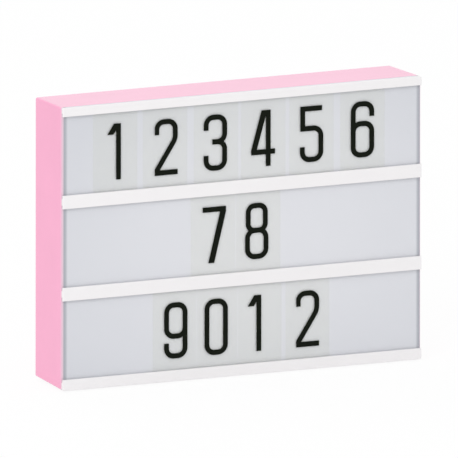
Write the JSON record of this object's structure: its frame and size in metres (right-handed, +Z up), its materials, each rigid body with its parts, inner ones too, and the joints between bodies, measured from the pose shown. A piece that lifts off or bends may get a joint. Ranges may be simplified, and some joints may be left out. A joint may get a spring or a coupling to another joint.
{
  "type": "cinema light box",
  "caption": "Shallow rectangular light box with an opal front crossed by horizontal rails that hold sliding clear character tiles; battery bay, switch and power socket at the back.",
  "frame": {"origin": "centre of the whole object's footprint, on the surface that its feet stand on", "axes": "+X along the front towards the right as seen from the front, -Y out of the front, +Z up"},
  "size_m": [0.3, 0.055, 0.221],
  "materials": {
    "housing_plastic": "satin pink moulded ABS",
    "frame_plastic": "white moulded ABS",
    "opal_sheet": "opal acrylic sheet, fine matt face",
    "reflector_card": "white coated card",
    "foot_rubber": "grey silicone",
    "screw_steel": "zinc plated steel",
    "circuit_board": "white solder mask",
    "component_body": "black moulded cases",
    "led_body": "white case with yellow phosphor",
    "contact_metal": "nickel plated steel",
    "terminal_brass": "plain brass",
    "switch_plastic": "black nylon",
    "red_lead": "red PVC insulation",
    "black_lead": "black PVC insulation",
    "rail_plastic": "white strip, soft gloss",
    "cell_sleeve": null,
    "tile_film": "clear PVC film with one printed character"
  },
  "bodies": {
    "light_box": {"rear_housing": "housing_plastic", "front_frame": "frame_plastic", "diffuser_panel": "opal_sheet", "reflector_sheet": "reflector_card", "rubber_feet": "foot_rubber", "housing_screws": "screw_steel", "board_screws": "screw_steel", "driver_board": "circuit_board", "led_board_lower": "circuit_board", "led_board_upper": "circuit_board", "driver_components": "component_body", "led_packages": "led_body", "battery_box": "frame_plastic", "battery_positive_terminal": "contact_metal", "battery_negative_terminal": "contact_metal", "battery_bridge_left": "contact_metal", "battery_bridge_right": "contact_metal", "battery_contact_springs": "contact_metal", "switch_case": "switch_plastic", "switch_terminals": "terminal_brass", "socket_body": "switch_plastic", "socket_pin": "terminal_brass", "socket_nut": "contact_metal", "socket_tags": "terminal_brass", "battery_positive_lead": "red_lead", "battery_negative_lead": "black_lead", "switch_lead": "red_lead", "socket_leads": "black_lead", "led_leads": "red_lead", "rail_spacer_bottom": "rail_plastic", "rail_face_bottom": "rail_plastic", "rail_spacer_lower": "rail_plastic", "rail_face_lower": "rail_plastic", "rail_spacer_upper": "rail_plastic", "rail_face_upper": "rail_plastic", "rail_spacer_top": "rail_plastic", "rail_face_top": "rail_plastic", "battery_cell_1": "cell_sleeve", "battery_cell_2": "cell_sleeve", "battery_cell_3": "cell_sleeve", "battery_cell_4": "cell_sleeve", "battery_cell_5": "cell_sleeve", "battery_cell_6": "cell_sleeve"},
    "rocker": {"switch_rocker": "switch_plastic", "switch_plunger": "switch_plastic", "switch_spring": "contact_metal"},
    "see_saw": {"switch_see_saw": "terminal_brass"},
    "battery_door": {"battery_door": "housing_plastic"},
    "tile_top_1": {"letter_tile_top_1": "tile_film"},
    "tile_top_2": {"letter_tile_top_2": "tile_film"},
    "tile_top_3": {"letter_tile_top_3": "tile_film"},
    "tile_top_4": {"letter_tile_top_4": "tile_film"},
    "tile_top_5": {"letter_tile_top_5": "tile_film"},
    "tile_top_6": {"letter_tile_top_6": "tile_film"},
    "tile_middle_1": {"letter_tile_middle_1": "tile_film"},
    "tile_middle_2": {"letter_tile_middle_2": "tile_film"},
    "tile_bottom_1": {"letter_tile_bottom_1": "tile_film"},
    "tile_bottom_2": {"letter_tile_bottom_2": "tile_film"},
    "tile_bottom_3": {"letter_tile_bottom_3": "tile_film"},
    "tile_bottom_4": {"letter_tile_bottom_4": "tile_film"}
  },
  "joints": [
    {"name": "rocker_rock", "type": "hinge", "parent": "light_box", "child": "rocker", "pos_m": [0.104, 0.0208, 0.04], "axis": [1, 0, 0], "range_deg": [0, 16]},
    {"name": "see_saw_rock", "type": "hinge", "parent": "light_box", "child": "see_saw", "pos_m": [0.104, 0.0112, 0.04], "axis": [1, 0, 0], "range_deg": [-16, 0]},
    {"name": "battery_door_hinge", "type": "hinge", "parent": "light_box", "child": "battery_door", "pos_m": [0, 0.0265, 0.092], "axis": [1, 0, 0], "range_deg": [0, 85]},
    {"name": "tile_top_1_slide", "type": "slide", "parent": "light_box", "child": "tile_top_1", "axis": [1, 0, 0], "range_m": [-0.0549, 0.00225]},
    {"name": "tile_top_2_slide", "type": "slide", "parent": "light_box", "child": "tile_top_2", "axis": [1, 0, 0], "range_m": [-0.00225, 0.00265]},
    {"name": "tile_top_3_slide", "type": "slide", "parent": "light_box", "child": "tile_top_3", "axis": [1, 0, 0], "range_m": [-0.00265, 0.00115]},
    {"name": "tile_top_4_slide", "type": "slide", "parent": "light_box", "child": "tile_top_4", "axis": [1, 0, 0], "range_m": [-0.00115, 0.0015]},
    {"name": "tile_top_5_slide", "type": "slide", "parent": "light_box", "child": "tile_top_5", "axis": [1, 0, 0], "range_m": [-0.0015, 0.0027]},
    {"name": "tile_top_6_slide", "type": "slide", "parent": "light_box", "child": "tile_top_6", "axis": [1, 0, 0], "range_m": [-0.0027, 0.0591]},
    {"name": "tile_middle_1_slide", "type": "slide", "parent": "light_box", "child": "tile_middle_1", "axis": [1, 0, 0], "range_m": [-0.1369, 0.00025]},
    {"name": "tile_middle_2_slide", "type": "slide", "parent": "light_box", "child": "tile_middle_2", "axis": [1, 0, 0], "range_m": [-0.00025, 0.1463]},
    {"name": "tile_bottom_1_slide", "type": "slide", "parent": "light_box", "child": "tile_bottom_1", "axis": [1, 0, 0], "range_m": [-0.1043, 0.00025]},
    {"name": "tile_bottom_2_slide", "type": "slide", "parent": "light_box", "child": "tile_bottom_2", "axis": [1, 0, 0], "range_m": [-0.00025, 0.00025]},
    {"name": "tile_bottom_3_slide", "type": "slide", "parent": "light_box", "child": "tile_bottom_3", "axis": [1, 0, 0], "range_m": [-0.00025, 0.00165]},
    {"name": "tile_bottom_4_slide", "type": "slide", "parent": "light_box", "child": "tile_bottom_4", "axis": [1, 0, 0], "range_m": [-0.00165, 0.1047]}
  ],
  "couplings": [
    {"joint": "see_saw_rock", "follows": "rocker_rock", "ratio": -1}
  ]
}
